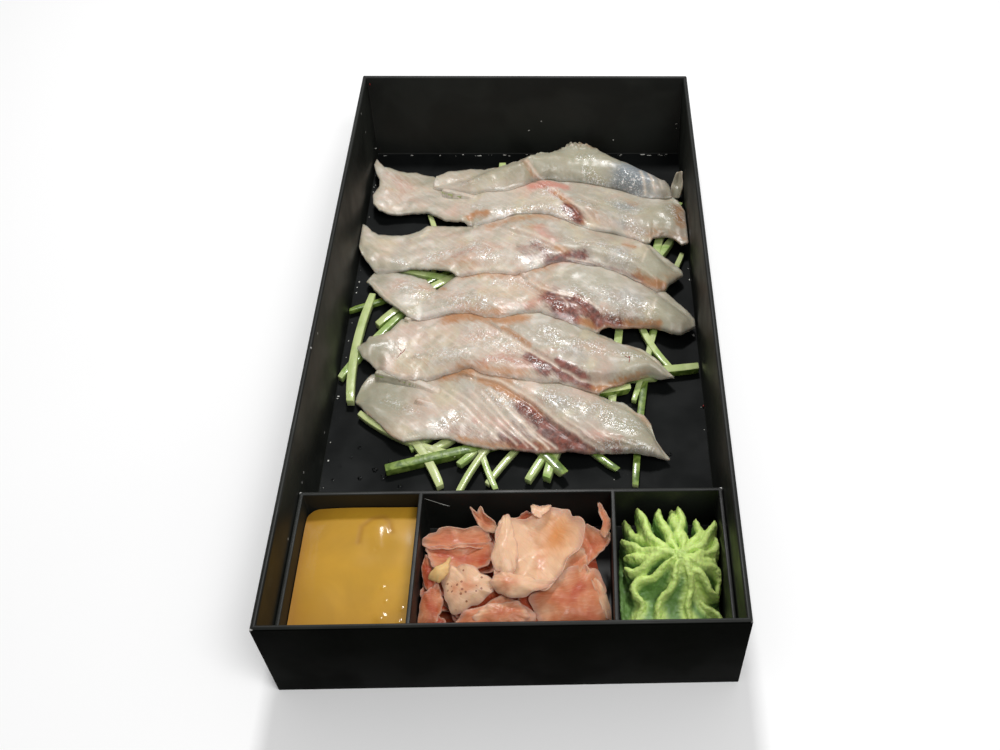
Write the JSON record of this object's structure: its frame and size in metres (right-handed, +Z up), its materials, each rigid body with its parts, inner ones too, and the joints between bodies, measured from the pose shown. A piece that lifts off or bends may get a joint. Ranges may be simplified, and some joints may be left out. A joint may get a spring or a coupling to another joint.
{
  "type": "sashimi tray",
  "caption": "Open black card tray: slices of raw white fish lie over shredded cucumber, behind an insert with pockets of mustard, pickled ginger and piped wasabi",
  "frame": {"origin": "on the table, under the middle of the tray", "axes": "+X runs across the tray to the right, +Y along it away from the three-pocket insert, +Z up"},
  "size_m": [0.15, 0.28, 0.042],
  "materials": {
    "card": "black card coated with a semi-gloss film, worn white at the fold corners",
    "mustard": "smooth wet mustard, soft gloss",
    "ginger": "thin translucent pickled slices, pink to cream, moist",
    "wasabi": "piped paste, slightly moist, finely grained",
    "cucumber": "pale green flesh with dark green skin edges, moist",
    "fish": "wet translucent raw white fish with pink and dark red streaks"
  },
  "bodies": {
    "root": {"tray": "card", "insert": "card", "mustard": "mustard", "ginger": "ginger", "wasabi": "wasabi", "cucumber": "cucumber", "slice_1": "fish", "slice_2": "fish", "slice_3": "fish", "slice_4": "fish", "slice_5": "fish", "slice_6": "fish"}
  },
  "joints": []
}
